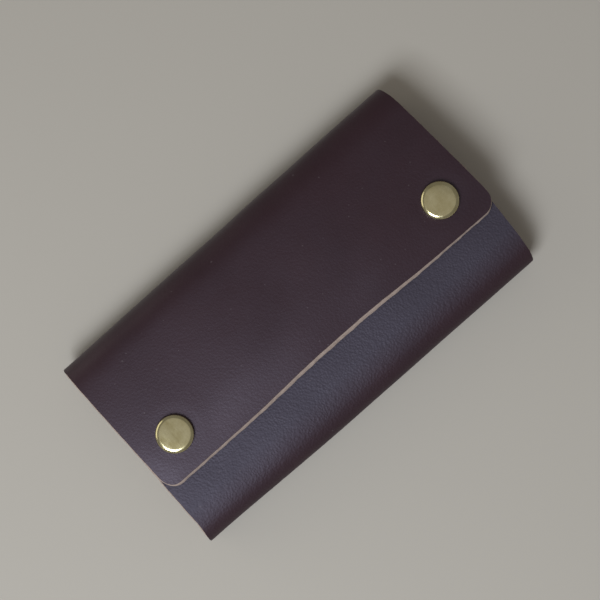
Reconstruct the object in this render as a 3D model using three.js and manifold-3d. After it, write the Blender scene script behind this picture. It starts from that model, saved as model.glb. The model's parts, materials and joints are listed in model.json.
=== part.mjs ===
// Trifold leather key organiser, closed and lying on its back panel.
//
// One hide wraps round a row of key hooks: the inner flap folds over first, the outer flap folds over
// it, and two snaps hold them together. Both short ends stay open. A metal rail is riveted inside the
// back panel at the +X end, and each hook swivels in its lip and has a sprung gate.
//
// Millimetres, +Z up. X runs along the case and Y across it. The origin is the middle of the footprint
// on the surface that the case lies on. The hide bends only at the cuts between its panels and strips.

import * as THREE from 'three';
import { mergeVertices } from 'three/addons/utils/BufferGeometryUtils.js';
import Module from 'manifold-3d';

const wasm = await Module();
wasm.setup();

// ---------------------------------------------------------------- driving dimensions

const GAP = 0.3; // clearance between neighbouring pieces
const HIDE = 1.6; // leather thickness
const CASE = { left: -58.8, right: 56.6, width: 62.6, height: 17.5 };
const CROWN = 280; // radius of the gentle arch of the closed top
const FLAP_SPACE = 2.2; // room that a closed snap keeps between the two flaps
const BENDS = 4; // bending lines in each fold

// The flaps were cut by hand, so their ends aren't quite square to the folds.
const OUTER_FLAP = { edge: -13.8, left: -57.8, right: 58.8, corner: 4.6 };
const INNER_FLAP = { edge: 3, left: -58.8, right: 58.4, corner: 3 };

const SNAP_X = { rail_end: 47.4, key_end: -47.0 };
const SNAP_Y = -2.9;
const SNAP = { cap: 5, dome: 1.6, socket: 4.2, mouth: 2.7, stud: 1.5, base: 3.4, recess: 0.4 };

const RAIL = { front: 44, depth: 11, half: 22.3, gauge: 0.8, top: 9.6, corner: 2 };
const RIVET = { x: 50.8, y: 16, head: 3.1, shank: 1.1, cap: 2.8 };

const HOOKS = 6;
const HOOK_PITCH = 8;
const HOOK_Z = 6.5; // height of the swivel axes
const HOOK = { half: 3.75, wire: 1.4, thick: 1.5, bend: 15, nose: 13.8 };
const SWIVEL = { shank: 1, head: 1.8, peen: 0.9, collar: 1.4 };
const GATE = { pivot: 4.4, rise: 1.7, boss: 1.3, pin: 0.5, sheet: 0.45, heel: 3.4, cheek: 8.2, tip: 12.8 };

// ---------------------------------------------------------------- materials

const leather = { color: 0x38292f, roughness: 0.55, metalness: 0 };
const brass = { color: 0x8d8460, roughness: 0.35, metalness: 1 };
const nickel = { color: 0xb9b8b2, roughness: 0.3, metalness: 1 };

// ---------------------------------------------------------------- solids

/** A manifold-3d solid from a three.js geometry. */
function toSolid(geometry) {
  const bare = geometry.clone();
  bare.deleteAttribute('normal');
  bare.deleteAttribute('uv');
  const merged = mergeVertices(bare, 1e-4);
  return new wasm.Manifold(new wasm.Mesh({
    numProp: 3,
    vertProperties: new Float32Array(merged.attributes.position.array),
    triVerts: new Uint32Array(merged.index.array),
  }));
}

/** A three.js geometry from a manifold-3d solid. */
function toGeometry(solid) {
  const mesh = solid.getMesh();
  const geometry = new THREE.BufferGeometry();
  geometry.setAttribute('position', new THREE.BufferAttribute(mesh.vertProperties, 3));
  geometry.setIndex(new THREE.BufferAttribute(mesh.triVerts, 1));
  geometry.computeVertexNormals();
  return geometry;
}

function join(first, ...others) {
  return toGeometry(others.reduce((sum, other) => sum.add(toSolid(other)), toSolid(first)));
}

function cut(first, ...tools) {
  return toGeometry(tools.reduce((rest, tool) => rest.subtract(toSolid(tool)), toSolid(first)));
}

function overlap(first, second) {
  return toGeometry(toSolid(first).intersect(toSolid(second)));
}

/** An outline in its own plane, extruded square to it; each arc in it gets ten straight steps. */
function prism(shape, depth) {
  return new THREE.ExtrudeGeometry(shape, { depth, bevelEnabled: false, curveSegments: 5 });
}

/** An outline in (Y, Z), extruded from x0 to x1. */
function extrudeX(shape, x0, x1) {
  const geometry = prism(shape, x1 - x0);
  const axes = [new THREE.Vector3(0, 1, 0), new THREE.Vector3(0, 0, 1), new THREE.Vector3(1, 0, 0)];
  return geometry.applyMatrix4(new THREE.Matrix4().makeBasis(...axes).setPosition(x0, 0, 0));
}

/** An outline in (X, Z), extruded from y0 to y1. */
function extrudeY(shape, y0, y1) {
  return prism(shape, y1 - y0).rotateX(Math.PI / 2).translate(0, y1, 0);
}

/** An outline in (X, Y), extruded from z0 to z1. */
function extrudeZ(shape, z0, z1) {
  return prism(shape, z1 - z0).translate(0, 0, z0);
}

/** A solid turned about a vertical axis, from a profile of [radius, height] pairs. */
function turned(profile, segments = 24) {
  const points = profile.map(([radius, height]) => new THREE.Vector2(radius, height));
  return new THREE.LatheGeometry(points, segments).rotateX(Math.PI / 2);
}

/** A round tool or shank along Z, from z0 to z1. */
function rod(radius, z0, z1, segments = 20) {
  return new THREE.CylinderGeometry(radius, radius, z1 - z0, segments)
    .rotateX(Math.PI / 2)
    .translate(0, 0, (z0 + z1) / 2);
}

// ---------------------------------------------------------------- section of the closed hide

const CROWN_Z = CASE.height - CROWN; // height of the centre that both flaps' arches share

/** Radius of a fold that stands on the table, reaches the side of the case and runs into the arch. */
function foldRadius(arch) {
  const b = 2 * arch - CASE.width - 2 * CROWN_Z;
  const c = (CASE.width / 2) ** 2 + CROWN_Z ** 2 - arch ** 2;
  return (Math.sqrt(b * b - 4 * c) - b) / 2;
}

/** One fold and its flap: side is the side of the case that the fold is on, +1 or -1. */
function makeWrap(side, arch, flap) {
  const radius = foldRadius(arch);
  const centre = CASE.width / 2 - radius;
  const end = Math.PI - Math.atan2(centre, radius - CROWN_Z);
  const bends = Array.from({ length: BENDS }, (_, i) => ((i + 0.5) / BENDS) * end);
  return { side, arch, flap, radius, centre, end, bends };
}

const outerWrap = makeWrap(1, CROWN, OUTER_FLAP);
const innerWrap = makeWrap(-1, CROWN - HIDE - FLAP_SPACE, INNER_FLAP);

/** A point of the fold, at an angle from straight down and a depth below the grain side. */
function foldPoint(wrap, angle, depth) {
  const reach = wrap.radius - depth;
  return new THREE.Vector2(
    wrap.side * (wrap.centre + reach * Math.sin(angle)),
    wrap.radius - reach * Math.cos(angle),
  );
}

/** The fold's arc between two angles, each moved in by half a gap where it meets a cut. */
function foldArc(wrap, from, to, depth, steps = 6) {
  const inset = GAP / 2 / (wrap.radius - depth);
  const start = from > 0 ? from + inset : from;
  const stop = to < wrap.end ? to - inset : to;
  return Array.from({ length: steps + 1 }, (_, i) => (
    foldPoint(wrap, start + ((stop - start) * i) / steps, depth)
  ));
}

/** The arch from the fold's end to the flap's free edge. */
function archLine(wrap, depth, steps = 12) {
  const reach = wrap.arch - depth;
  const start = wrap.side * Math.atan2(wrap.centre, wrap.radius - CROWN_Z);
  const stop = Math.asin(wrap.flap.edge / reach);
  return Array.from({ length: steps }, (_, i) => {
    const angle = start + ((stop - start) * (i + 1)) / steps;
    return new THREE.Vector2(reach * Math.sin(angle), CROWN_Z + reach * Math.cos(angle));
  });
}

/** The height of a flap's grain side at a place across the case. */
function archHeight(wrap, y) {
  return CROWN_Z + Math.sqrt(wrap.arch ** 2 - y ** 2);
}

// ---------------------------------------------------------------- hide

function stripGeometry(wrap, index) {
  const [from, to] = [wrap.bends[index], wrap.bends[index + 1]];
  const outline = [...foldArc(wrap, from, to, 0), ...foldArc(wrap, from, to, HIDE).reverse()];
  return extrudeX(new THREE.Shape(outline), CASE.left, CASE.right);
}

/** A flap's outline from above: straight at the fold, with rounded corners at its free edge. */
function flapPlan(wrap) {
  const { edge, left, right, corner } = wrap.flap;
  const root = foldPoint(wrap, wrap.bends[BENDS - 1], 0).x;
  const back = edge + wrap.side * corner;
  const shape = new THREE.Shape();
  shape.moveTo(CASE.left, root + wrap.side);
  shape.lineTo(left, back);
  shape.quadraticCurveTo(left, edge, left + corner, edge);
  shape.lineTo(right - corner, edge);
  shape.quadraticCurveTo(right, edge, right, back);
  shape.lineTo(CASE.right, root + wrap.side);
  return shape;
}

function flapGeometry(wrap) {
  const from = wrap.bends[BENDS - 1];
  const grain = [...foldArc(wrap, from, wrap.end, 0), ...archLine(wrap, 0)];
  const flesh = [...foldArc(wrap, from, wrap.end, HIDE), ...archLine(wrap, HIDE)];
  const spare = 4; // the sheet is made oversize, then trimmed to its plan
  const section = new THREE.Shape([...grain, ...flesh.reverse()]);
  const sheet = extrudeX(section, CASE.left - spare, CASE.right + spare);
  return overlap(sheet, extrudeZ(flapPlan(wrap), 0, CASE.height + spare));
}

function backGeometry() {
  const grain = [
    ...foldArc(innerWrap, 0, innerWrap.bends[0], 0).reverse(),
    ...foldArc(outerWrap, 0, outerWrap.bends[0], 0),
  ];
  const flesh = [
    ...foldArc(innerWrap, 0, innerWrap.bends[0], HIDE).reverse(),
    ...foldArc(outerWrap, 0, outerWrap.bends[0], HIDE),
  ];
  const panel = extrudeX(new THREE.Shape([...grain, ...flesh.reverse()]), CASE.left, CASE.right);
  const tools = [-1, 1].flatMap((side) => [
    rod(RIVET.head + GAP, -1, HIDE / 2).translate(RIVET.x, side * RIVET.y, 0),
    rod(RIVET.shank + GAP, -1, HIDE + 1).translate(RIVET.x, side * RIVET.y, 0),
  ]);
  return cut(panel, ...tools);
}

// ---------------------------------------------------------------- snaps

const FLAP_TOP = archHeight(outerWrap, SNAP_Y);
const OUTER_FLESH = -HIDE; // heights below the outer flap's grain side at a snap
const INNER_GRAIN = OUTER_FLESH - FLAP_SPACE;
const INNER_FLESH = INNER_GRAIN - HIDE;
const SOCKET_TOP = OUTER_FLESH + SNAP.recess - GAP;
const SOCKET_DEPTH = 1.7; // how far the socket stands out of the flesh side
const SOCKET_END = OUTER_FLESH - SOCKET_DEPTH;
const SOCKET_WEB = 0.6; // thickness of the socket's top plate
const STUD_FOOT = INNER_GRAIN - SNAP.recess + GAP;
const STUD_HOLD = 0.9; // how far the stud reaches into the socket
const STUD_TOP = SOCKET_END + STUD_HOLD;

/** Domed cap, with the shank that is riveted over inside the socket. */
function snapCap() {
  const shank = 1.3;
  const shankEnd = SOCKET_TOP - SOCKET_WEB + 0.1;
  const rim = 0.9;
  const bevel = 0.4;
  const steps = 5;
  const dome = Array.from({ length: steps }, (_, i) => {
    const angle = (i / steps) * (Math.PI / 2);
    return [SNAP.cap * Math.cos(angle), rim + SNAP.dome * Math.sin(angle)];
  });
  return turned([
    [0, shankEnd],
    [shank, shankEnd],
    [shank, GAP],
    [SNAP.cap - bevel, GAP],
    [SNAP.cap, GAP + bevel],
    ...dome,
    [0, rim + SNAP.dome],
  ], 32);
}

function snapSocket() {
  const bore = 1.6;
  const bevel = 0.3;
  return turned([
    [bore, SOCKET_TOP],
    [bore, SOCKET_TOP - SOCKET_WEB],
    [SNAP.mouth, SOCKET_TOP - SOCKET_WEB],
    [SNAP.mouth, SOCKET_END],
    [SNAP.socket - bevel, SOCKET_END],
    [SNAP.socket, SOCKET_END + bevel],
    [SNAP.socket, SOCKET_TOP],
    [bore, SOCKET_TOP],
  ]);
}

function snapStud() {
  const bore = 0.95;
  const crown = 0.6; // thickness of the metal over the bore
  const plate = 0.3;
  const neck = 1.2;
  const bead = 0.4; // half the height of the bead round the stud's top
  return turned([
    [0, STUD_TOP - crown],
    [bore, STUD_TOP - crown],
    [bore, STUD_FOOT],
    [SNAP.base, STUD_FOOT],
    [SNAP.base, STUD_FOOT + plate],
    [neck, STUD_FOOT + plate],
    [neck, STUD_TOP - 2 * bead],
    [SNAP.stud, STUD_TOP - bead],
    [neck, STUD_TOP],
    [0, STUD_TOP],
  ], 16);
}

/** The eyelet post that holds the stud from the flesh side of the inner flap. */
function snapPost() {
  const flange = 3.2;
  const thick = 0.4;
  const bevel = 0.3;
  const shank = 0.65;
  const seat = INNER_FLESH - GAP;
  const tip = STUD_TOP - 0.9;
  return turned([
    [0, seat - thick],
    [flange - bevel, seat - thick],
    [flange, seat - thick + bevel],
    [flange, seat],
    [shank, seat],
    [shank, tip],
    [0, tip],
  ], 16);
}

/** Holes and seats that the snaps need in a flap, given as rods below the outer flap's grain side. */
function snapTools(rods) {
  return Object.values(SNAP_X).flatMap((x) => (
    rods.map(([radius, low, high]) => rod(radius, low, high).translate(x, SNAP_Y, FLAP_TOP))
  ));
}

const CAP_HOLE = 1.6;
const STUD_HOLE = 1;
const outerSnapTools = snapTools([
  [CAP_HOLE, OUTER_FLESH - 1, 1],
  [SNAP.socket + GAP, OUTER_FLESH - 1, OUTER_FLESH + SNAP.recess],
]);
const innerSnapTools = snapTools([
  [STUD_HOLE, INNER_FLESH - 1, INNER_GRAIN + 1],
  [SNAP.base + GAP, INNER_GRAIN - SNAP.recess, INNER_GRAIN + 1],
]);

// ---------------------------------------------------------------- rail and rivets

const RAIL_FLOOR = HIDE + GAP;
const RAIL_UPPER = RAIL_FLOOR + RAIL.gauge;

/** Sheet angle: a base on the back panel, and a lip with a hole for each hook. */
function railGeometry() {
  const { front, depth, half, gauge, top, corner } = RAIL;
  const bend = 1.4; // outside radius of the fold in the sheet
  const section = new THREE.Shape();
  section.moveTo(front + depth, RAIL_FLOOR);
  section.lineTo(front + bend, RAIL_FLOOR);
  section.absarc(front + bend, RAIL_FLOOR + bend, bend, -Math.PI / 2, -Math.PI, true);
  section.lineTo(front, top);
  section.lineTo(front + gauge, top);
  section.lineTo(front + gauge, RAIL_FLOOR + bend);
  section.absarc(front + bend, RAIL_FLOOR + bend, bend - gauge, -Math.PI, -Math.PI / 2, false);
  section.lineTo(front + depth, RAIL_UPPER);
  const angle = extrudeY(section, -half, half);
  const face = new THREE.Shape();
  face.moveTo(-half, 0);
  face.lineTo(-half, top - corner);
  face.quadraticCurveTo(-half, top, corner - half, top);
  face.lineTo(half - corner, top);
  face.quadraticCurveTo(half, top, half, top - corner);
  face.lineTo(half, 0);
  const rounded = overlap(angle, extrudeX(face, front - 1, front + depth + 1));
  const holes = hookPlaces().map((y) => (
    rod(SWIVEL.shank + GAP, -2, 2).rotateY(Math.PI / 2).translate(front, y, HOOK_Z)
  ));
  const seats = [-1, 1].map((side) => (
    rod(RIVET.shank + GAP, 0, RAIL_UPPER + 1).translate(RIVET.x, side * RIVET.y, 0)
  ));
  return cut(rounded, ...holes, ...seats);
}

/** Flat-headed rivet, sunk flush in the back of the case. */
function rivetGeometry() {
  const low = 0.05;
  const head = 0.45;
  return turned([
    [0, low],
    [RIVET.head, low],
    [RIVET.head, low + head],
    [RIVET.shank, low + head],
    [RIVET.shank, RAIL_UPPER + 2 * GAP],
    [0, RAIL_UPPER + 2 * GAP],
  ], 20);
}

/** Domed cap pressed on the rivet inside the case. */
function rivetCapGeometry() {
  const foot = RAIL_UPPER + GAP;
  const bore = RIVET.shank + GAP;
  const boreEnd = foot + 0.6;
  const rim = foot + 0.4;
  const shoulder = { radius: RIVET.cap - 0.6, height: foot + 0.9 };
  const crown = foot + 1.15;
  return turned([
    [0, boreEnd],
    [bore, boreEnd],
    [bore, foot],
    [RIVET.cap, foot],
    [RIVET.cap, rim],
    [shoulder.radius, shoulder.height],
    [0, crown],
  ], 20);
}

// ---------------------------------------------------------------- hooks

/** Places of the hooks across the case. */
function hookPlaces() {
  return Array.from({ length: HOOKS }, (_, i) => (i - (HOOKS - 1) / 2) * HOOK_PITCH);
}

/** Stamped hook with its swivel shank: x is the distance in front of the lip, z the height off the axis. */
function hookGeometry() {
  const { half, wire, thick, bend, nose } = HOOK;
  const { shank, head, peen, collar } = SWIVEL;
  const inner = half - wire;
  const { pivot, rise, boss } = GATE;
  const root = { x: 1, half: 1.6 }; // the blade's narrow end, inside the collar
  const full = 4; // where the blade reaches its full width
  const fillet = 1;
  const shape = new THREE.Shape();
  shape.moveTo(root.x, -root.half);
  shape.quadraticCurveTo(root.half, -half, full, -half);
  shape.lineTo(bend, -half);
  shape.absarc(bend, 0, half, -Math.PI / 2, Math.PI / 2, false);
  shape.lineTo(nose, half);
  shape.absarc(nose, half - wire / 2, wire / 2, Math.PI / 2, Math.PI * 1.5, false);
  shape.lineTo(bend, inner);
  shape.absarc(bend, 0, inner, Math.PI / 2, -Math.PI / 2, true);
  shape.lineTo(pivot + boss + fillet, -inner);
  shape.quadraticCurveTo(pivot + boss, -inner, pivot + boss, fillet - inner);
  shape.lineTo(pivot + boss, rise);
  shape.absarc(pivot, rise, boss, 0, Math.PI / 2, false);
  shape.quadraticCurveTo(root.half, rise + boss, root.x, root.half);
  const eye = new THREE.Path();
  eye.absarc(pivot, rise, GATE.pin + GAP, 0, Math.PI * 2, true);
  shape.holes.push(eye);
  const blade = extrudeY(shape, -thick / 2, thick / 2);
  const back = -RAIL.gauge - GAP;
  const swivel = turned([
    [0, back - peen],
    [head, back - peen],
    [head, back],
    [shank, back],
    [shank, GAP],
    [head, GAP],
    [head, collar],
    [0, collar],
  ], 12).rotateY(Math.PI / 2);
  return join(blade, swivel);
}

/** Folded sheet gate: a web from the pivot to the hook's nose, and a cheek on each side of the hook. */
function gateGeometry() {
  const { half, thick } = HOOK;
  const { pivot, rise, boss, pin, sheet, heel, cheek, tip } = GATE;
  const inside = thick / 2 + GAP;
  const outside = inside + sheet;
  const web = new THREE.BoxGeometry(tip - heel, 2 * outside, sheet)
    .translate((tip + heel) / 2, 0, half - sheet / 2);
  const top = half - 0.1; // the cheeks run a little way into the web
  const side = new THREE.Shape();
  side.moveTo(heel, top);
  side.lineTo(pivot - boss, rise);
  side.absarc(pivot, rise, boss, Math.PI, 0, false);
  side.lineTo(cheek, top);
  const eye = new THREE.Path();
  eye.absarc(pivot, rise, pin + GAP, 0, Math.PI * 2, true);
  side.holes.push(eye);
  return join(web, extrudeY(side, -outside, -inside), extrudeY(side, inside, outside));
}

/** Headed pin through the gate's cheeks and the hook, along Y. */
function gatePinGeometry() {
  const { pin, sheet } = GATE;
  const grip = HOOK.thick / 2 + 2 * GAP + sheet;
  const head = { radius: 0.95, thick: 0.3 };
  return turned([
    [0, -grip - head.thick],
    [head.radius, -grip - head.thick],
    [head.radius, -grip],
    [pin, -grip],
    [pin, grip],
    [head.radius, grip],
    [head.radius, grip + head.thick],
    [0, grip + head.thick],
  ], 10).rotateX(Math.PI / 2).translate(GATE.pivot, 0, GATE.rise);
}

// ---------------------------------------------------------------- assembly

const organiser = new THREE.Group();

function add(parent, name, geometry, finish) {
  const mesh = new THREE.Mesh(geometry, new THREE.MeshStandardMaterial(finish));
  mesh.name = name;
  parent.add(mesh);
  return mesh;
}

add(organiser, 'back_panel', backGeometry(), leather);
for (let i = 0; i < BENDS - 1; i += 1) {
  add(organiser, `outer_fold_strip_${i + 1}`, stripGeometry(outerWrap, i), leather);
  add(organiser, `inner_fold_strip_${i + 1}`, stripGeometry(innerWrap, i), leather);
}
add(organiser, 'outer_flap', cut(flapGeometry(outerWrap), ...outerSnapTools), leather);
add(organiser, 'inner_flap', cut(flapGeometry(innerWrap), ...innerSnapTools), leather);

for (const [end, x] of Object.entries(SNAP_X)) {
  const place = new THREE.Group();
  place.position.set(x, SNAP_Y, FLAP_TOP);
  add(place, `snap_cap_${end}`, snapCap(), brass);
  add(place, `snap_socket_${end}`, snapSocket(), brass);
  add(place, `snap_stud_${end}`, snapStud(), brass);
  add(place, `snap_post_${end}`, snapPost(), brass);
  organiser.add(place);
}

add(organiser, 'key_rail', railGeometry(), nickel);
for (const [name, side] of [['left', -1], ['right', 1]]) {
  add(organiser, `rail_rivet_${name}`, rivetGeometry(), brass).position.set(RIVET.x, side * RIVET.y, 0);
  add(organiser, `rail_rivet_cap_${name}`, rivetCapGeometry(), nickel)
    .position.set(RIVET.x, side * RIVET.y, 0);
}

for (const [i, y] of hookPlaces().entries()) {
  const place = new THREE.Group();
  place.position.set(RAIL.front, y, HOOK_Z);
  place.rotation.z = Math.PI; // the hooks point away from the rail, towards -X
  add(place, `hook_${i + 1}`, hookGeometry(), nickel);
  add(place, `hook_gate_${i + 1}`, gateGeometry(), nickel);
  add(place, `hook_gate_pin_${i + 1}`, gatePinGeometry(), nickel);
  organiser.add(place);
}

export default organiser;
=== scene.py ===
import json
import math

import bmesh
import bpy
import numpy as np
from mathutils import Matrix, Vector


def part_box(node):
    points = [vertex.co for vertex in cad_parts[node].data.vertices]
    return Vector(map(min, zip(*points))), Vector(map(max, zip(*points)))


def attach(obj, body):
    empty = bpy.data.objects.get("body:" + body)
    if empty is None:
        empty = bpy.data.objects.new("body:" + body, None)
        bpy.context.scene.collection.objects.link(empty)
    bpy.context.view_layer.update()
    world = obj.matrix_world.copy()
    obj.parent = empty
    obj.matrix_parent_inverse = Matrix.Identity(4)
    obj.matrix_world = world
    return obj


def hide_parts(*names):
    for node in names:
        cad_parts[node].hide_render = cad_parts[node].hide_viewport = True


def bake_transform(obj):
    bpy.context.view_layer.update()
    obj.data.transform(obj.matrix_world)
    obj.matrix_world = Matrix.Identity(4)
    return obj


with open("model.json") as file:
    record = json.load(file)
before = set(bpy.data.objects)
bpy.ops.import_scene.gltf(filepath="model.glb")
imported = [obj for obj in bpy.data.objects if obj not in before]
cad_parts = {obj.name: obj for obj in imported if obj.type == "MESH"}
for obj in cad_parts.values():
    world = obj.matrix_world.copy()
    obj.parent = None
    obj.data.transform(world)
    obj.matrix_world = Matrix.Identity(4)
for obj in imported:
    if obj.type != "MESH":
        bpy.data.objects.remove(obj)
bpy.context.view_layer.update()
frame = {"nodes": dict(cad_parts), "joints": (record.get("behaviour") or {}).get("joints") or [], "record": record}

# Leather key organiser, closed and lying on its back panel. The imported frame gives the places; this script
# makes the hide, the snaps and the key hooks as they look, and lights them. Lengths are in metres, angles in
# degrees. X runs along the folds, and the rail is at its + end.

MM = 0.001

# ---------------------------------------------------------------- sizes of the hide

HIDE = 1.6 * MM  # leather thickness
COLUMN = 0.6 * MM  # mesh spacing along the case
ROW = 0.55 * MM  # mesh spacing across the hide
SECTION_STEP = 0.05 * MM  # spacing of the sampled section
BACK_SAMPLES, FOLD_SAMPLES, FLAP_SAMPLES = 200, 400, 500  # points that draw it before it is sampled evenly
OVERRUN = 1.5 * MM  # how far the section is drawn past a free edge
BLUR_REACH = 3  # how many widths to either side a blur takes in
SLOPE_STEP = 0.1 * MM  # over which the surface's slopes are measured

# The section. Turns say how far the leather has turned from lying flat on its back.
FOLD_SPREAD = {"outer": 2.6 * MM, "inner": 4.0 * MM}  # how far the leather spreads each fold's bend
DROOP = 0.6 * MM  # how far the outer flap sinks towards the inner one at its free edge
DROOP_START, DROOP_LENGTH = -2 * MM, 11 * MM  # the place in y where it starts to, and over how much
RISE = 0.6 * MM  # how far the inner flap rises to meet the outer one's free edge
RISE_TURN, RISE_LENGTH = 100, 14 * MM  # where it starts to rise, and over how much
RISE_END, RISE_FALL = 17 * MM, 8 * MM  # how far before its own edge it sinks again, and over how much
WAVE_TURN, WAVE_LENGTH = 30, 20 * MM  # where the soft waves start, and over how much they grow
WAVES = [  # (height in mm, radians per metre of x, radians per metre of s, start)
    (0.10, 71, 95, 0.6), (0.07, 163, -60, 2.1), (0.05, 251, 214, 4.0),
]

# How the case is thicker beside the rail and thinner at the empty end.
SLUMP = 0.12  # how much thinner the empty end is, as a share
FULLEST, SLUMP_LENGTH = 15 * MM, 73 * MM  # where the case is thickest, and how far away the empty end is
SWELL = {  # how far each fold stands out: (at the empty end, what is added, from which x, over how much)
    "outer": (-0.33 * MM, 1.0 * MM, -60 * MM, 112 * MM),
    "inner": (-0.42 * MM, 0.75 * MM, -57 * MM, 50 * MM),
}
SWELL_TURNS, SWELL_FADE = (10, 168), 8 * MM  # the part of the fold that stands out, and how it fades

# Dips: (how deep, radius of the flat bottom, how far it fades).
CAP_DIP = (0.07 * MM, 4.9 * MM, 4.2 * MM)
RIVET_DIP = (0.5 * MM, 3.1 * MM, 1.4 * MM)

# The outline.
CORNER = {"outer": 4.6 * MM, "inner": 3.0 * MM}  # rounding of each flap's free corners
CORNER_STEPS = 16  # points round a corner
SQUARENESS = {-1: 0.8, 1: 1.15}  # the corner's shape at each end: a lower power is squarer
OUTER_INSET = 1.0 * MM  # how far the outer flap stops short of the empty end at its free edge
TAPER_TURN = 150  # where a flap's sides start to slant
TAPER_LIMIT = 1.2  # and how far they go on past its edge, as a share
END_RUN = {  # how far each short end runs out past that: (where the fold stands upright, on the flap)
    ("outer", -1): (0.65 * MM, 0.45 * MM), ("outer", 1): (-0.6 * MM, 0.5 * MM),
    ("inner", -1): (0.85 * MM, 0.2 * MM), ("inner", 1): (0.4 * MM, 1.15 * MM),
}
RUN_TURNS = {-1: (15, 80, 125, 168), 1: (15, 85, 100, 150)}  # it grows over two, holds, changes over two
BOW_IN, BOW_OUT = -0.3 * MM, 0.65 * MM  # the outer edge's bow: at its middle, and what is added beside it
BOW_MIDDLE, BOW_HALF, BOW_LENGTH = 3 * MM, 6 * MM, 26 * MM  # its middle, half its flat part, and the change

# The cut edges.
SIDE_CUT = {-1: 0.42 * MM, 1: 0.3 * MM}  # how far the knife slanted at each short end
UPRIGHT_CUT = 0.2  # the share of that where the leather stands upright
CUT_TURN, CUT_LENGTH = 105, 6 * MM  # where the full slant starts, and over how much
INNER_SLANT = 0.5 * MM  # how far the knife slanted at the inner flap's free edge
TIP_SLANT = 0.75 * MM  # and at the outer one's, at the empty end
SLANT_LOSS, LOSS_START, LOSS_LENGTH = 0.22 * MM, 10 * MM, 35 * MM  # what is taken off towards the rail
SLANT_GAIN, GAIN_MIDDLE = 0.38 * MM, 5 * MM  # what is added at the middle
GAIN_HALF, GAIN_LENGTH = 8 * MM, 45 * MM  # half the length that has all of it, and over how much it fades
EDGE_SECTION = [  # from grain side to flesh side: (share of the slant, depth)
    (0.06, 0.03 * MM), (0.14, 0.12 * MM), (0.30, 0.30 * MM), (0.52, 0.60 * MM),
    (0.72, 0.90 * MM), (0.90, 1.20 * MM), (1.00, 1.42 * MM), (0.97, 1.56 * MM),
]
RAGGED = [  # unevenness: (height in mm, radians per metre of x, of s, radians per layer, start)
    (0.042, 820, 760, 0.0, 0.9), (0.032, 1730, -1510, 0.5, 0.0),
]
RAGGED_QUICK = (0.030, (3900, 1.9, 0.0), (3500, 2.3, 1.0))  # (height, the rest along x, the rest along s)
RAGGED_RISE = 4  # how fast the unevenness comes up from the grain side

# The pieces that the hide is cut into, at these turns of its section.
BEND_TURNS = (1, 45, 90, 135)  # where each piece's bend starts; all but the first are seams
LAST_TURN = 176  # where the last bend ends
SEAM_STATIONS = 40  # places along the case where a seam is measured

JOINTS = {joint["name"]: joint for joint in frame["joints"]}
SNAP_ENDS = ("key_end", "rail_end")
HOOKS = 6


def middle(node):
    low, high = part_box(node)
    return (low + high) / 2


SNAPS = {end: middle(f"snap_cap_{end}") for end in SNAP_ENDS}
RIVETS = {side: middle(f"rail_rivet_{side}") for side in ("left", "right")}

# ---------------------------------------------------------------- section of the hide


def fold_circle(side):
    """Centre and radius of a fold, from its bending lines; the circle stands on the table."""
    points = [JOINTS[f"{side}_fold_{i}"]["pos_m"] for i in (1, 2, 3)]
    (y1, z1), (y2, z2), (y3, z3) = [(abs(p[1]), p[2]) for p in points]
    rows = np.array([[2 * (y1 - y2), 2 * (z1 - z2)], [2 * (y1 - y3), 2 * (z1 - z3)]])
    known = np.array([y1**2 - y2**2 + z1**2 - z2**2, y1**2 - y3**2 + z1**2 - z3**2])
    return np.linalg.solve(rows, known)


def smoothstep(t):
    t = np.clip(t, 0, 1)
    return t * t * (3 - 2 * t)


def slump(x):
    """How much thinner the case is, as a share, away from its fullest place."""
    return SLUMP * ((x - FULLEST) / SLUMP_LENGTH) ** 2


def dip(x, s, centre_x, centre_s, shape):
    """How deep the leather is pressed in round a centre."""
    deep, radius, fade = shape
    gap = np.hypot(x - centre_x, s - centre_s)
    return deep * (1 - smoothstep((gap - radius) / fade))


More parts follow.
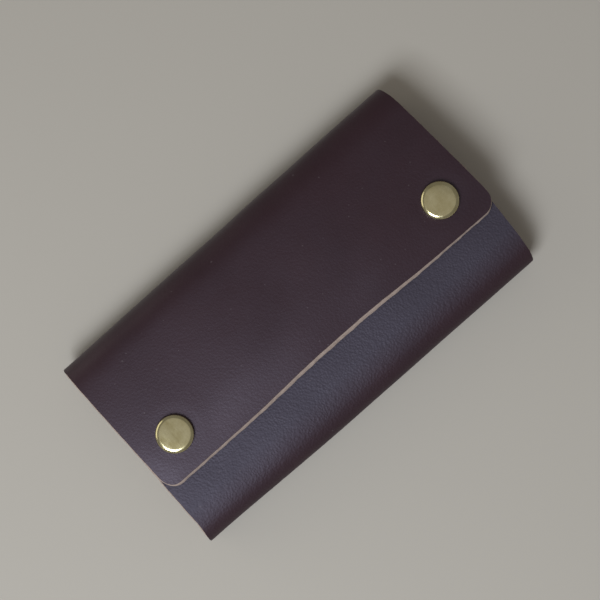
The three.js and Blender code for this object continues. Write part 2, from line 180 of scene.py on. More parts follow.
class Wrap:
    """Half of the hide: from the middle of the back, round one fold, to that flap's free edge.

    A place on it is (x, s, depth): s is the distance from the middle of the back, measured on the grain
    side, and depth is measured from the grain side into the leather.
    """

    def __init__(self, name, mirror):
        self.name = name
        self.mirror = mirror
        low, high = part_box(f"{name}_flap")
        back_low, back_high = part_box("back_panel")
        self.edge_y = low.y if mirror > 0 else -high.y
        self.ends = {-1: (back_low.x, low.x), 1: (back_high.x, high.x)}
        if name == "outer":
            self.ends[-1] = (back_low.x, back_low.x + OUTER_INSET)
        self.corner = CORNER[name]
        centre, radius = fold_circle(name)
        self._draw(centre, radius, high.z)

    def _draw(self, centre, radius, top):
        """Samples the section: flat back, fold, arch; then spreads the bends as leather does."""
        arch = (centre**2 + (top - radius) ** 2 - radius**2) / (2 * (top - 2 * radius))
        arch_z = top - arch
        end = math.pi - math.atan2(centre, radius - arch_z)
        angle = np.linspace(0, end, FOLD_SAMPLES)
        flat = np.stack([np.linspace(0, centre, BACK_SAMPLES), np.zeros(BACK_SAMPLES)], 1)
        fold = np.stack([centre + radius * np.sin(angle), radius - radius * np.cos(angle)], 1)
        y = np.linspace(fold[-1, 0], self.edge_y - OVERRUN, FLAP_SAMPLES)
        over = np.stack([y, arch_z + np.sqrt(arch**2 - y**2)], 1)
        if self.name == "outer":
            over[:, 1] -= DROOP * smoothstep((DROOP_START - y) / DROOP_LENGTH)
        path = np.concatenate([flat, fold[1:], over[1:]])
        length = self._lengths(path)
        s = np.arange(0, length[-1], SECTION_STEP)
        path = np.stack([np.interp(s, length, path[:, i]) for i in (0, 1)], 1)
        path = self._spread(path, SECTION_STEP, FOLD_SPREAD[self.name])
        path[:, 0] *= (centre + radius) / path[:, 0].max()
        path[:, 1] = np.maximum(path[:, 1], 0)
        self.path = path
        self.s = self._lengths(path)
        tangent = np.gradient(path, axis=0)
        tangent /= np.linalg.norm(tangent, axis=1)[:, None]
        self.normal = np.stack([tangent[:, 1], -tangent[:, 0]], 1)
        self.turn = np.unwrap(np.arctan2(tangent[:, 1], tangent[:, 0]))
        self.edge = self.on_flap(self.edge_y)

    @staticmethod
    def _lengths(path):
        """The distance along a path at each of its points."""
        return np.concatenate([[0], np.cumsum(np.hypot(*np.diff(path, axis=0).T))])

    @staticmethod
    def _spread(path, step, width):
        """A path blurred along its length; past each end it goes on as itself, turned round that end."""
        reach = int(BLUR_REACH * width / step)
        offset = np.arange(-reach, reach + 1) * step
        weight = np.exp(-0.5 * (offset / width) ** 2)
        weight /= weight.sum()
        before = 2 * path[:1] - path[1 : reach + 1][::-1]
        after = 2 * path[-1:] - path[-reach - 1 : -1][::-1]
        padded = np.concatenate([before, path, after])
        return np.stack([np.convolve(padded[:, i], weight, "valid") for i in (0, 1)], 1)

    def on_flap(self, y):
        """Where the section passes over y, past its fold."""
        past = int(np.argmax(self.path[:, 0])) + 1
        return float(np.interp(-y, -self.path[past:, 0], self.s[past:]))

    def at_turn(self, degrees):
        """Where the section has turned by this much from lying flat."""
        return float(np.interp(math.radians(degrees), self.turn, self.s))

    def side_cut(self, side, s):
        """How far the knife slanted at a short end: hardly at all where the leather stands upright."""
        full = smoothstep((s - self.at_turn(CUT_TURN)) / CUT_LENGTH)
        return SIDE_CUT[side] * (UPRIGHT_CUT + (1 - UPRIGHT_CUT) * full)

    def side_x(self, side, s):
        """Where the hide ends in x at a place s, on the side -1 or +1, rounded corners left out."""
        root, tip = self.ends[side]
        bend = self.at_turn(TAPER_TURN)
        fold, flap = END_RUN[self.name, side]
        turns = [self.at_turn(angle) for angle in RUN_TURNS[side]]
        run = np.interp(s, turns, [0, fold, fold, flap])
        taper = np.clip((s - bend) / (self.edge - bend), 0, TAPER_LIMIT)
        return root + (tip - root) * taper + side * run

    def edge_bow(self, x):
        """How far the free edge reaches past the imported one; it bows in a little at its middle."""
        if self.name == "inner":
            return 0.0 * x
        return BOW_IN + BOW_OUT * smoothstep((np.abs(x - BOW_MIDDLE) - BOW_HALF) / BOW_LENGTH)

    def tip_slant(self, x):
        """How far the knife slanted through the leather at the free edge."""
        if self.name == "inner":
            return INNER_SLANT + 0.0 * x
        loss = smoothstep((x - LOSS_START) / LOSS_LENGTH)
        gain = 1 - smoothstep((np.abs(x - GAIN_MIDDLE) - GAIN_HALF) / GAIN_LENGTH)
        return TIP_SLANT - SLANT_LOSS * loss + SLANT_GAIN * gain

    def relief(self, x, s):
        """Height of the leather above the plain section: soft waves that grow towards the free edge."""
        free = smoothstep((s - self.at_turn(WAVE_TURN)) / WAVE_LENGTH)
        waves = sum(
            height * np.sin(x * along + s * across + start) for height, along, across, start in WAVES
        )
        return waves * MM * free + self.rise(s)

    def rise(self, s):
        """The inner flap bulges up in front of the outer flap's free edge and dips again under it."""
        if self.name == "outer":
            return 0.0 * s
        up = smoothstep((s - self.at_turn(RISE_TURN)) / RISE_LENGTH)
        return RISE * up * (1 - smoothstep((s - self.edge + RISE_END) / RISE_FALL))

    def press(self, x, s):
        """How far the grain side is pressed in, round the snaps and under the rivets' heads."""
        depth = 0.0 * x
        if self.name == "outer":
            for snap in SNAPS.values():
                depth = depth + dip(x, s, snap.x, self.snap_s(), CAP_DIP)
        for rivet in RIVETS.values():
            depth = depth + dip(x, s, rivet.x, rivet.y * self.mirror, RIVET_DIP)
        return depth

    def snap_s(self):
        """The snaps' place along the section."""
        return self.on_flap(SNAPS["rail_end"].y * self.mirror)

    def swell(self, x, s):
        """How far the fold stands out: the case is fuller at the end that holds the rail."""
        empty, added, start, length = SWELL[self.name]
        full = empty + added * smoothstep((x - start) / length)
        first, last = [self.at_turn(angle) for angle in SWELL_TURNS]
        fold = smoothstep((s - first) / SWELL_FADE) * smoothstep((last - s) / SWELL_FADE)
        return full * fold

    def point(self, x, s, depth):
        """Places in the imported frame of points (x, s, depth)."""
        x, s, depth = np.broadcast_arrays(x, s, depth)
        y, z = [np.interp(s, self.s, self.path[:, i]) for i in (0, 1)]
        ny, nz = [np.interp(s, self.s, self.normal[:, i]) for i in (0, 1)]
        out = self.relief(x, s) - depth - self.press(x, s) * (1 - depth / HIDE)
        y = y + self.swell(x, s)
        height = (z + out * nz) * (1 - slump(x))
        return np.stack([x, self.mirror * (y + out * ny), height], -1)

    def facing(self, x, s):
        """The grain side's outward normals."""
        along = self.point(x + SLOPE_STEP, s, 0) - self.point(x - SLOPE_STEP, s, 0)
        across = self.point(x, s + SLOPE_STEP, 0) - self.point(x, s - SLOPE_STEP, 0)
        normal = np.cross(across, along) * self.mirror
        return normal / np.linalg.norm(normal, axis=-1, keepdims=True)


WRAPS = {"outer": Wrap("outer", 1), "inner": Wrap("inner", -1)}

# ---------------------------------------------------------------- materials


class Paint:
    """A material's node tree, with short calls for the nodes that the looks are made of."""

    def __init__(self, name):
        self.material = bpy.data.materials.new(name)
        self.material.use_nodes = True
        self.nodes = self.material.node_tree.nodes
        self.links = self.material.node_tree.links
        self.shader = self.nodes["Principled BSDF"]

    def finish(self, linked, **values):
        """Links some of the shader's sockets, sets others, and returns the material."""
        for name, value in linked.items():
            self.links.new(value, self.shader.inputs[name])
        for name, value in values.items():
            self.shader.inputs[name.replace("_", " ")].default_value = value
        return self.material

    def place(self):
        """Where a point is on the unrolled hide."""
        node = self.nodes.new("ShaderNodeAttribute")
        node.attribute_name = "hide_place"
        return node.outputs["Vector"]

    def split(self, vector):
        node = self.nodes.new("ShaderNodeSeparateXYZ")
        self.links.new(vector, node.inputs["Vector"])
        return node.outputs

    def stretch(self, vector, scale):
        node = self.nodes.new("ShaderNodeMapping")
        node.inputs["Scale"].default_value = scale
        self.links.new(vector, node.inputs["Vector"])
        return node.outputs["Vector"]

    def noise(self, vector, scale, detail, rough):
        node = self.nodes.new("ShaderNodeTexNoise")
        node.inputs["Scale"].default_value = scale
        node.inputs["Detail"].default_value = detail
        node.inputs["Roughness"].default_value = rough
        self.links.new(vector, node.inputs["Vector"])
        return node.outputs["Fac"]

    def pebble(self, vector, scale, smooth):
        node = self.nodes.new("ShaderNodeTexVoronoi")
        node.feature = "SMOOTH_F1"
        node.inputs["Scale"].default_value = scale
        node.inputs["Smoothness"].default_value = smooth
        self.links.new(vector, node.inputs["Vector"])
        return node.outputs["Distance"]

    def ramp(self, value, low, high):
        """A colour between two stops, each of them (place, colour)."""
        node = self.nodes.new("ShaderNodeValToRGB")
        for element, (place, colour) in zip(node.color_ramp.elements, (low, high)):
            element.position = place
            element.color = (*colour, 1)
        self.links.new(value, node.inputs["Fac"])
        return node.outputs["Color"]

    def remap(self, value, source, target):
        """A value moved from one span to another, and kept inside it."""
        node = self.nodes.new("ShaderNodeMapRange")
        for name, number in zip(("From Min", "From Max", "To Min", "To Max"), (*source, *target)):
            node.inputs[name].default_value = number
        self.links.new(value, node.inputs["Value"])
        return node.outputs["Result"]

    def math(self, operation, first, second):
        node = self.nodes.new("ShaderNodeMath")
        node.operation = operation
        self.links.new(first, node.inputs[0])
        self.links.new(second, node.inputs[1])
        return node.outputs["Value"]

    def mix(self, factor, first, second):
        """One colour laid over another; the second one is plain."""
        node = self.nodes.new("ShaderNodeMix")
        node.data_type = "RGBA"
        self.links.new(factor, node.inputs[0])
        self.links.new(first, node.inputs[6])
        node.inputs[7].default_value = (*second, 1)
        return node.outputs[2]

    def bump(self, height, strength, distance, below=None):
        node = self.nodes.new("ShaderNodeBump")
        node.inputs["Strength"].default_value = strength
        node.inputs["Distance"].default_value = distance
        self.links.new(height, node.inputs["Height"])
        if below is not None:
            self.links.new(below, node.inputs["Normal"])
        return node.outputs["Normal"]


# Places across the hide, in metres from the middle of the back; the inner flap's side is negative.
BACK_SPAN = (-0.02, 0.02)  # over which the looks change from the inner flap's to the outer flap's
PAINTED_SHEEN_SPAN = (-0.041, -0.048)  # over which the inner flap's painted bluish-grey sheen comes up
DYED_DEPTH = (0.04 * MM, 0.16 * MM)  # how deep the dye went into a cut edge: all of it, none of it

DYE_DARK, DYE_LIGHT = (0.0185, 0.0048, 0.0064), (0.0235, 0.0066, 0.0084)
# The first of these colours is a painted reflection: the bluish-grey sheen of the inner flap's band, laid into the
# base colour.
PAINTED_SHEEN, FLECK, SPECK = (0.034, 0.028, 0.040), (0.050, 0.034, 0.038), (0.14, 0.115, 0.12)
GLOSS_TINT = (0.84, 0.79, 0.99, 1)
CORE_DARK, CORE_LIGHT, CORE_DYED = (0.262, 0.188, 0.158), (0.492, 0.396, 0.346), (0.055, 0.035, 0.036)
FLESH_DARK, FLESH_LIGHT, NAP = (0.25, 0.155, 0.105), (0.37, 0.25, 0.18), (0.46, 0.34, 0.26)
BRASS_DARK, BRASS_LIGHT = (0.53, 0.46, 0.24), (0.74, 0.68, 0.43)
NICKEL_DARK, NICKEL_LIGHT = (0.60, 0.58, 0.54), (0.80, 0.78, 0.74)


def grain_material():
    """Smooth drum-dyed leather: pebble, creases, specks, cloudy dye, soft gloss; duller on the inner flap, with a
    bluish-grey sheen painted into its colour.
    """
    paint = Paint("hide_grain")
    place = paint.place()
    cloud = paint.noise(place, scale=45, detail=5, rough=0.55)
    fleck = paint.noise(place, scale=2400, detail=3, rough=0.65)
    speck = paint.noise(place, scale=900, detail=0, rough=0.5)
    crease = paint.noise(place, scale=780, detail=5, rough=0.75)
    gloss = paint.noise(place, scale=130, detail=4, rough=0.6)
    pebble = paint.pebble(place, scale=1700, smooth=0.6)
    across = paint.split(place)["Y"]

    base = paint.ramp(cloud, (0.3, DYE_DARK), (0.7, DYE_LIGHT))
    # Painted sheen: the inner flap's band is lightened towards bluish grey, standing in for a reflection of the
    # light.
    with_painted_sheen = paint.mix(paint.remap(across, PAINTED_SHEEN_SPAN, (0, 1)), base, PAINTED_SHEEN)
    flecked = paint.mix(paint.remap(fleck, (0.55, 0.8), (0, 0.3)), with_painted_sheen, FLECK)
    specked = paint.mix(paint.remap(speck, (0.845, 0.87), (0, 0.3)), flecked, SPECK)

    depth = paint.remap(across, BACK_SPAN, (2.5, 0.62))
    fine = paint.bump(fleck, strength=0.4, distance=0.04 * MM)
    pebbled, creased = [paint.math("MULTIPLY", height, depth) for height in (pebble, crease)]
    grain = paint.bump(pebbled, strength=0.4, distance=0.08 * MM, below=fine)
    relief = paint.bump(creased, strength=0.35, distance=0.09 * MM, below=grain)

    polish = paint.remap(gloss, (0.3, 0.7), (0.43, 0.50))
    duller = paint.remap(across, BACK_SPAN, (0.13, 0.0))
    rough = paint.math("ADD", polish, duller)
    return paint.finish(
        {"Base Color": specked, "Normal": relief, "Roughness": rough},
        Specular_IOR_Level=0.63, Specular_Tint=GLOSS_TINT,
    )


def edge_material():
    """Raw cut edge: pinkish beige core with fibres that run along the cut, darker where the dye went in."""
    paint = Paint("hide_edge")
    place = paint.place()
    fibre = paint.noise(paint.stretch(place, (0.35, 1, 2.2)), scale=2200, detail=5, rough=0.7)
    core = paint.ramp(fibre, (0.25, CORE_DARK), (0.7, CORE_LIGHT))
    dye = paint.remap(paint.split(place)["Z"], DYED_DEPTH, (1, 0))
    dyed = paint.mix(dye, core, CORE_DYED)
    return paint.finish(
        {"Base Color": dyed, "Normal": paint.bump(fibre, strength=0.8, distance=0.12 * MM)},
        Roughness=0.85, Specular_IOR_Level=0.25,
    )


def flesh_material():
    """Flesh side: short brushed nap, tan with cloudy fibres."""
    paint = Paint("hide_flesh")
    place = paint.place()
    cloud = paint.noise(place, scale=90, detail=6, rough=0.65)
    nap = paint.noise(place, scale=1700, detail=6, rough=0.75)
    base = paint.ramp(cloud, (0.3, FLESH_DARK), (0.7, FLESH_LIGHT))
    brushed = paint.mix(paint.remap(nap, (0.35, 0.7), (0, 0.5)), base, NAP)
    return paint.finish(
        {"Base Color": brushed, "Normal": paint.bump(nap, strength=0.9, distance=0.18 * MM)},
        Roughness=0.95, Specular_IOR_Level=0.15, Sheen_Weight=0.25,
    )


def metal_material(name, dark, light, rough, brushed):
    """Worn plated metal: cloudy tarnish and fine brushing, which is drawn out where brushed is below 1."""
    paint = Paint(name)
    place = paint.nodes.new("ShaderNodeTexCoord").outputs["Object"]
    brush = paint.noise(paint.stretch(place, brushed), scale=900, detail=5, rough=0.7)
    cloud = paint.noise(place, scale=330, detail=5, rough=0.6)
    tarnish = paint.ramp(cloud, (0.3, dark), (0.72, light))
    colour = paint.mix(paint.remap(brush, (0.3, 0.7), (0, 0.35)), tarnish, light)
    worn = paint.remap(brush, (0.25, 0.75), (rough - 0.05, rough + 0.06))
    relief = paint.bump(brush, strength=0.08, distance=0.04 * MM)
    return paint.finish({"Base Color": colour, "Roughness": worn, "Normal": relief}, Metallic=1)


GRAIN = grain_material()
EDGE = edge_material()
FLESH = flesh_material()
BRASS = metal_material("antique_brass", BRASS_DARK, BRASS_LIGHT, rough=0.2, brushed=(1.0, 0.12, 1.0))
NICKEL = metal_material("nickel_plate", NICKEL_DARK, NICKEL_LIGHT, rough=0.28, brushed=(0.15, 1.0, 1.0))

# ---------------------------------------------------------------- hide

GRAIN_SLOT, EDGE_SLOT, FLESH_SLOT = 0, 1, 2
SEAM_SLOT = 3  # the closed ends where two pieces of the hide meet: flesh colour, flat


def ragged(x, s, layer):
    """Small unevenness of a cut edge, as a length."""
    slow = sum(
        height * np.sin(x * along + s * across + layer * turn + start)
        for height, along, across, turn, start in RAGGED
    )
    height, *ways = RAGGED_QUICK
    quick = height * math.prod(
        np.sin(place * rate + layer * turn + start) for place, (rate, turn, start) in zip((x, s), ways)
    )
    return (slow + quick) * MM


class Sheet:
    """Collects a piece of the hide as a closed mesh with a place attribute and its grain's own normals."""

    def __init__(self, wrap):
        self.wrap = wrap
        self.points = []
        self.signs = []
        self.faces = []

    def add(self, x, s, depth, sign=0):
        """Adds one point and returns its index; its sign is 1 on the grain side, -1 on the flesh side."""
        self.points.append((x, s, depth))
        self.signs.append(sign)
        return len(self.points) - 1

    def face(self, loop, slot, flip=False):
        self.faces.append((loop if flip != (self.wrap.mirror < 0) else loop[::-1], slot))

    def build(self, name):
        points = np.array(self.points)
        x, s, depth = points.T
        mesh = bpy.data.meshes.new(name)
        co = self.wrap.point(x, s, depth)
        mesh.from_pydata([tuple(p) for p in co], [], [loop for loop, _ in self.faces])
        for material in (GRAIN, EDGE, FLESH):
            mesh.materials.append(material)
        mesh.polygons.foreach_set("material_index", [min(slot, FLESH_SLOT) for _, slot in self.faces])
        mesh.polygons.foreach_set("use_smooth", [slot != SEAM_SLOT for _, slot in self.faces])
        places = mesh.attributes.new("hide_place", "FLOAT_VECTOR", "POINT")
        unrolled = points * [1, self.wrap.mirror, 1]
        places.data.foreach_set("vector", unrolled.astype(np.float32).ravel())
        obj = bpy.data.objects.new(name, mesh)
        bpy.context.scene.collection.objects.link(obj)
        facing = self.wrap.facing(x, s) * np.array(self.signs)[:, None]
        loop_normals = np.zeros((len(mesh.loops), 3))
        for polygon, (_, slot) in zip(mesh.polygons, self.faces):
            if slot in (EDGE_SLOT, SEAM_SLOT):
                continue
            for loop in polygon.loop_indices:
                loop_normals[loop] = facing[mesh.loops[loop].vertex_index]
        mesh.normals_split_custom_set([tuple(n) for n in loop_normals])
        return obj


def side_line(wrap, side, s, bend):
    """Where the grain side ends, beside a rounded corner's arc or along a straight side."""
    end = wrap.side_x(side, s + wrap.corner * math.sin(bend))
    round_off = math.cos(bend) ** SQUARENESS[side]
    return end - side * (wrap.corner - (wrap.corner - wrap.side_cut(side, s)) * round_off)


def ribbon(sheet, border):
    """Closes grain to flesh along a border of (grain, flesh, outward) and returns its end columns."""
    columns = []
    for grain, flesh, (out_x, out_s) in border:
        x, s, _ = sheet.points[grain]
        slant_x = sheet.wrap.side_cut(1 if out_x > 0 else -1, s) * out_x
        slant_s = sheet.wrap.tip_slant(x) * out_s
        column = [grain]
        for layer, (share, depth) in enumerate(EDGE_SECTION):
            rough = ragged(x, s, layer) * min(1.0, RAGGED_RISE * share)
            edge_x = x + slant_x * share + out_x * rough
            edge_s = s + slant_s * share + out_s * rough
            column.append(sheet.add(edge_x, edge_s, depth))
        columns.append(column + [flesh])
    for a, b in zip(columns, columns[1:]):
        for k in range(len(a) - 1):
            sheet.face([a[k], b[k], b[k + 1], a[k + 1]], GRAIN_SLOT if k == 0 else EDGE_SLOT)
    return columns[0], columns[-1]


def hide_piece(name, wrap, start, stop, free_edge):
    """A piece of the hide from s = start to stop, with cut edges at its outline and flat seams."""
    sheet = Sheet(wrap)
    corner_s = wrap.edge - wrap.corner
    rows_stop = corner_s if free_edge else stop
    row_count = max(2, int(round((rows_stop - start) / ROW)) + 1)
    rows = [(s, 0.0) for s in np.linspace(start, rows_stop, row_count)]
    if free_edge:
        rows += [(corner_s, bend) for bend in np.linspace(0, math.pi / 2, CORNER_STEPS)[1:]]
    count = int(round((wrap.ends[1][0] - wrap.ends[-1][0]) / COLUMN))
    share = np.linspace(0, 1, count + 1)

    grain, flesh = [], []
    for s, bend in rows:
        left, right = [side_line(wrap, side, s, bend) for side in (-1, 1)]
        xs = left + (right - left) * share
        reach = wrap.corner + wrap.edge_bow(xs) - wrap.tip_slant(xs)
        places = s + reach * math.sin(bend)
        grain.append([sheet.add(x, p, 0.0, 1) for x, p in zip(xs, places)])
        flesh.append([sheet.add(x, p, HIDE, -1) for x, p in zip(xs, places)])
    last = len(rows) - 1

    for j in range(last):
        for i in range(count):
            for side, slot, flip in ((grain, GRAIN_SLOT, False), (flesh, FLESH_SLOT, True)):
                sheet.face([side[j][i], side[j][i + 1], side[j + 1][i + 1], side[j + 1][i]], slot, flip)

    def border(j, i, out_x, out_s):
        return grain[j][i], flesh[j][i], (out_x, out_s)

    left_side = [border(j, 0, -math.cos(bend), math.sin(bend)) for j, (_, bend) in enumerate(rows)]
    right_side = [border(j, count, math.cos(bend), math.sin(bend)) for j, (_, bend) in enumerate(rows)]
    if free_edge:
        tip = [border(last, i, 0.0, 1.0) for i in range(1, count)]
        first, final = ribbon(sheet, left_side + tip + right_side[::-1])
        seams = [(0, first, final, False)]
    else:
        left_first, left_last = ribbon(sheet, left_side)
        right_last, right_first = ribbon(sheet, right_side[::-1])
        seams = [(0, left_first, right_first, False), (last, left_last, right_last, True)]
    for j, left, right, flip in seams:
        for i in range(count):
            sheet.face([grain[j][i], flesh[j][i], flesh[j][i + 1], grain[j][i + 1]], SEAM_SLOT, flip)
        sheet.face(left, SEAM_SLOT, flip)
        sheet.face(right[::-1], SEAM_SLOT, flip)
    return sheet.build(name)


def bend_span(wrap, start, stop, free):
    """The ends of a piece's bend, drawn in until no point of its seams lies between them."""
    first, last = [wrap.point(0.0, s, HIDE / 2) for s in (start, stop)]
    way = (last - first) / np.linalg.norm(last - first)
    x = np.linspace(wrap.ends[-1][0], wrap.ends[1][0], SEAM_STATIONS)
    seams = [[(wrap.point(x, s, depth) - first) @ way for depth in (0.0, HIDE)] for s in (start, stop)]
    return first + way * np.max(seams[0]), last if free else first + way * np.min(seams[1])


def make_wrap_pieces(side):
    """The pieces of one half of the hide, cut at given turns of the section; each takes the place of an imported
    part, which it hides.
    """
    wrap = WRAPS[side]
    bodies = ["root"] + [f"{side}_fold_strip_{i}" for i in (1, 2, 3)] + [f"{side}_flap"]
    names = [f"hide_back_{side}", f"hide_{side}_bend_2", f"hide_{side}_bend_3", f"hide_{side}_flap"]
    starts = [wrap.at_turn(angle) for angle in BEND_TURNS]
    for i, start in enumerate(starts):
        free = i == len(starts) - 1
        stop = wrap.edge if free else starts[i + 1]
        piece = hide_piece(names[i], wrap, start if i else 0.0, stop, free)
        ends = bend_span(wrap, start, wrap.at_turn(LAST_TURN) if free else stop, free)
        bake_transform(piece)
        nodes = [bodies[i + 1]]
        if names[i] == "hide_back_outer":
            nodes.insert(0, "back_panel")
        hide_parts(*nodes)


for wrap_side in ("outer", "inner"):
    make_wrap_pieces(wrap_side)

# ---------------------------------------------------------------- metal pieces

CAP_OVERSIZE = 0.18  # how much larger a cap's radius is than its CAD solid's, in mm
SHOULDER = 1.25  # the width of a cap's rounded shoulder, in mm
CAP_HEIGHT = 1.75  # from the leather to the top of a cap, in mm
DOME_TILT, SHOULDER_TILT, SHOULDER_POWER = 4.3, 50, 1.5  # how a cap's surface tilts, in degrees
CAP_SEGMENTS, SEGMENTS = 96, 64
CAP_SAMPLES = 90
AXIS = 1e-9  # a point nearer to the axis than this lies on it
ROUND_SHARE, ROUND_POINTS = 0.45, 5  # the most of a side that a rounding takes, and the points in it
WELD = 0.01 * MM  # corners closer together than this are one corner
FLAT_ANGLE, SHARP_ANGLE = math.radians(1), math.radians(38)
WORN = {"key_rail": 0.12 * MM, "hook": 0.2 * MM, "hook_gate": 0.1 * MM, "hook_gate_pin": 0.1 * MM}
WORN_SEGMENTS = 2
BODY_OF = {node: body for body, nodes in frame["record"]["behaviour"]["bodies"].items() for node in nodes}


def rounded(profile, radius):
    """A profile of (r, z) with its inner corners rounded."""
    points = [np.array(p, float) for p in profile]
    out = [points[0]]
    for before, here, after in zip(points, points[1:], points[2:]):
        a, b = before - here, after - here
        la, lb = np.linalg.norm(a), np.linalg.norm(b)
        reach = min(radius, ROUND_SHARE * la, ROUND_SHARE * lb)
        start, stop = here + a / la * reach, here + b / lb * reach
        for t in np.linspace(0, 1, ROUND_POINTS):
            out.append((1 - t) ** 2 * start + 2 * t * (1 - t) * here + t**2 * stop)
    return out + [points[-1]]


def turned(name, profile, place, material, segments):
    """A piece turned about the vertical through place; the profile's ends lie on the axis or join up."""
    mesh = bpy.data.meshes.new(name)
    bm = bmesh.new()
    closed = profile[0][0] > AXIS
    rings = []
    for r, z in profile[:-1] if closed else profile:
        if r < AXIS:
            rings.append([bm.verts.new((0, 0, z * MM))])
            continue
        angles = [2 * math.pi * i / segments for i in range(segments)]
        rings.append([bm.verts.new((r * MM * math.cos(a), r * MM * math.sin(a), z * MM)) for a in angles])
    pairs = list(zip(rings, rings[1:])) + ([(rings[-1], rings[0])] if closed else [])
    for low, high in pairs:
        for i in range(segments):
            k = (i + 1) % segments
            loop = [low[i % len(low)], low[k % len(low)], high[k % len(high)], high[i % len(high)]]
            bm.faces.new(list(dict.fromkeys(loop)))
    bmesh.ops.recalc_face_normals(bm, faces=bm.faces)
    for face in bm.faces:
        face.smooth = True
    bm.to_mesh(mesh)
    bm.free()
    mesh.transform(Matrix.Translation(place))
    mesh.materials.append(material)
    obj = bpy.data.objects.new(name, mesh)
    bpy.context.scene.collection.objects.link(obj)
    return obj


def radius_of(node):
    low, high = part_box(node)
    return (high.x - low.x) / 2 / MM


def height_of(node):
    low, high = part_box(node)
    return (high.z - low.z) / MM


# The profiles are half sections in millimetres, of points (distance from the axis, height).


def cap_profile(radius):
    """A faint dome that steepens into a rounded shoulder."""
    flat = radius - SHOULDER
    r = np.linspace(0, radius - 0.02, CAP_SAMPLES)
    turn = np.clip((r - flat) / SHOULDER, 0, 1)
    tilt = np.radians(DOME_TILT * np.minimum(r / flat, 1) + SHOULDER_TILT * turn**SHOULDER_POWER)
    drop = np.concatenate([[0], np.cumsum(np.tan(tilt[1:]) * np.diff(r))])
    top = list(zip(r, CAP_HEIGHT - drop))[::2]
    side = top[-1][1]
    rim = [(radius, side - 0.12), (radius, 0.25), (radius - 0.15, 0.05)]
    return top + rim + [(radius - 0.8, -0.05), (0, -0.05)]


def socket_profile(outer, height):
    """Ring with a rolled lip round its mouth and a seat for the cap's shank."""
    return rounded([
        (1.45, height), (1.45, height - 0.55), (2.75, height - 0.75), (2.75, 0.45), (2.45, 0.18),
        (2.75, 0.0), (outer - 0.5, 0.0), (outer, 0.45), (outer, height), (1.46, height),
    ], 0.16)


def stud_profile(base, height):
    """Necked button on a thin round foot."""
    return rounded([
        (0, height), (1.15, height), (1.5, height - 0.38), (1.2, height - 0.8), (1.25, 0.42),
        (base - 0.4, 0.3), (base, 0.16), (base, 0.0), (0, 0.0),
    ], 0.12)


def post_profile(flange, height):
    """Round flange with a pin."""
    return rounded([
        (0, 0.1), (flange - 0.6, 0.0), (flange, 0.16), (flange, 0.4), (0.65, 0.42), (0.65, height),
        (0, height),
    ], 0.1)


def rivet_profile(head, height):
    """Flat head with a thicker pin."""
    return rounded([
        (0, 0.0), (head - 0.45, 0.02), (head, 0.22), (head, 0.45), (1.1, 0.45), (1.1, height), (0, height),
    ], 0.1)


def rivet_cap_profile(radius, height):
    """Low dome."""
    return rounded([
        (0, 0.05), (radius - 0.15, 0.0), (radius, 0.2), (radius - 0.08, 0.45), (radius - 0.75, 0.92),
        (radius - 1.7, height - 0.05), (0, height),
    ], 0.3)


def snap_cap(end):
    node = f"snap_cap_{end}"
    x, y = middle(node).x, middle(node).y
    leather = WRAPS["outer"].point(x, WRAPS["outer"].snap_s(), 0.0)[2]
    profile = cap_profile(radius_of(node) + CAP_OVERSIZE)
    cap = turned(f"cap_{end}", profile, (x, y, leather), BRASS, CAP_SEGMENTS)
    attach(cap, "outer_flap")
    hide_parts(node)


def make_turned(node, profile_of, material):
    """A turned piece in place of a packed one, lowered with the leather that it sits on."""
    profile = profile_of(radius_of(node), height_of(node))
    centre = middle(node)
    sink = 0 if BODY_OF[node] == "root" else centre.z * float(slump(centre.x))
    place = (centre.x, centre.y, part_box(node)[0].z - sink)
    piece = turned(f"{node}_turned", profile, place, material, SEGMENTS)
    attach(piece, BODY_OF[node])
    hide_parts(node)


def worn_copy(node, width):
    """A copy of a packed metal piece with welded corners and worn, rounded edges."""
    bm = bmesh.new()
    bm.from_mesh(frame["nodes"][node].data)
    bmesh.ops.remove_doubles(bm, verts=bm.verts, dist=WELD)
    bmesh.ops.dissolve_limit(bm, angle_limit=FLAT_ANGLE, verts=bm.verts, edges=bm.edges)
    bmesh.ops.recalc_face_normals(bm, faces=bm.faces)
    for face in bm.faces:
        face.smooth = True
    mesh = bpy.data.meshes.new(f"{node}_worn")
    bm.to_mesh(mesh)
    bm.free()
    mesh.set_sharp_from_angle(angle=SHARP_ANGLE)
    mesh.materials.append(NICKEL)
    piece = bpy.data.objects.new(f"{node}_worn", mesh)
    bpy.context.scene.collection.objects.link(piece)
    bevel = piece.modifiers.new("worn_edges", "BEVEL")
    bevel.width = width
    bevel.segments = WORN_SEGMENTS
    bevel.limit_method = "ANGLE"
    bevel.angle_limit = SHARP_ANGLE
    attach(piece, BODY_OF[node])
    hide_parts(node)


for snap_end in SNAP_ENDS:
    snap_cap(snap_end)
    make_turned(f"snap_socket_{snap_end}", socket_profile, BRASS)
    make_turned(f"snap_stud_{snap_end}", stud_profile, BRASS)
    make_turned(f"snap_post_{snap_end}", post_profile, BRASS)
for rivet_side in RIVETS:
    make_turned(f"rail_rivet_{rivet_side}", rivet_profile, BRASS)
    make_turned(f"rail_rivet_cap_{rivet_side}", rivet_cap_profile, NICKEL)
worn_copy("key_rail", WORN["key_rail"])
for hook in range(1, HOOKS + 1):
    for kind in ("hook", "hook_gate", "hook_gate_pin"):
        worn_copy(f"{kind}_{hook}", WORN[kind])

# ---------------------------------------------------------------- stage

FLOOR_SIZE, FLOOR_DROP = 6, 0.02 * MM
FLOOR_COLOUR = (0.452, 0.418, 0.372, 1)
CAMERA_PLACE = Vector((-6.9, -21.7, 363.4)) * MM  # almost straight above, a little towards the snaps' side
CAMERA_TARGET = Vector((2.1, 3.0, 0.0)) * MM
CAMERA_UP = Vector((0.660, 0.748, 0.067))  # the case lies across the frame
SENSOR, LENS, NEAREST = 36, 78, 10 * MM


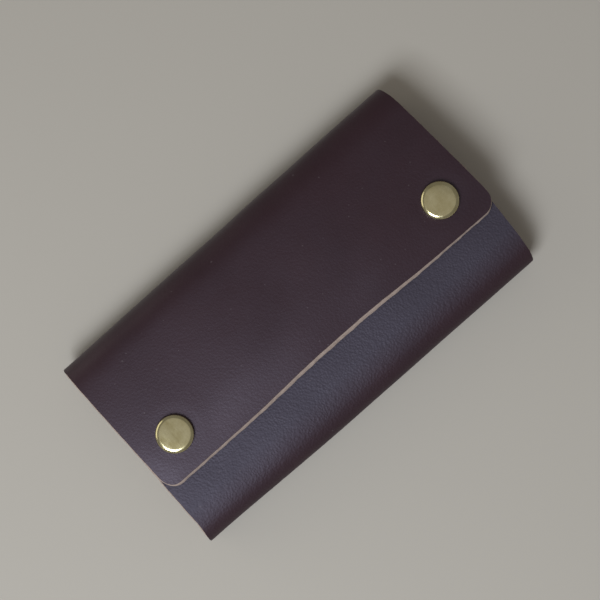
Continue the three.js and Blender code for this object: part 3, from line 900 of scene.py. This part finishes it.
def make_floor():
    bpy.ops.mesh.primitive_plane_add(size=FLOOR_SIZE, location=(0, 0, -FLOOR_DROP))
    floor = bpy.context.object
    floor.name = "floor"
    paint = Paint("floor")
    floor.data.materials.append(paint.finish({}, Base_Color=FLOOR_COLOUR, Roughness=0.8))


def area_light(name, direction, distance, size, power, colour):
    """An area light that looks at the origin from a direction given as (azimuth from +X, elevation)."""
    azimuth, elevation = [math.radians(angle) for angle in direction]
    data = bpy.data.lights.new(name, "AREA")
    data.shape = "RECTANGLE"
    data.size, data.size_y = size
    data.energy = power
    data.color = colour
    light = bpy.data.objects.new(name, data)
    level = math.cos(elevation)
    away = Vector((math.cos(azimuth) * level, math.sin(azimuth) * level, math.sin(elevation)))
    light.location = away * distance
    light.rotation_mode = "QUATERNION"
    light.rotation_quaternion = (-away).to_track_quat("-Z", "Y")
    bpy.context.scene.collection.objects.link(light)


def make_world(colour, strength):
    world = bpy.data.worlds.new("studio")
    world.use_nodes = True
    background = world.node_tree.nodes["Background"]
    background.inputs["Color"].default_value = (*colour, 1)
    background.inputs["Strength"].default_value = strength
    bpy.context.scene.world = world


def make_camera():
    back = (CAMERA_PLACE - CAMERA_TARGET).normalized()
    right = CAMERA_UP.cross(back).normalized()
    up = back.cross(right)
    camera = bpy.data.objects.new("camera", bpy.data.cameras.new("camera"))
    camera.data.sensor_width = SENSOR
    camera.data.lens = LENS
    camera.data.clip_start = NEAREST
    turn = Matrix((right, up, back)).transposed().to_4x4()
    camera.matrix_world = Matrix.Translation(CAMERA_PLACE) @ turn
    bpy.context.scene.collection.objects.link(camera)
    bpy.context.scene.camera = camera


make_floor()
make_world((1.0, 0.96, 0.9), 0.205)
area_light("window", (207, 52), distance=0.85, size=(0.37, 0.37), power=6.0, colour=(0.88, 0.94, 1.0))
area_light("ceiling", (211, 82), distance=0.9, size=(0.9, 0.9), power=0.47, colour=(1.0, 0.96, 0.92))
area_light("bounce", (128, 17), distance=1.1, size=(1.0, 0.6), power=1.9, colour=(1.0, 0.96, 0.80))
make_camera()
bpy.context.scene.view_settings.view_transform = "Standard"
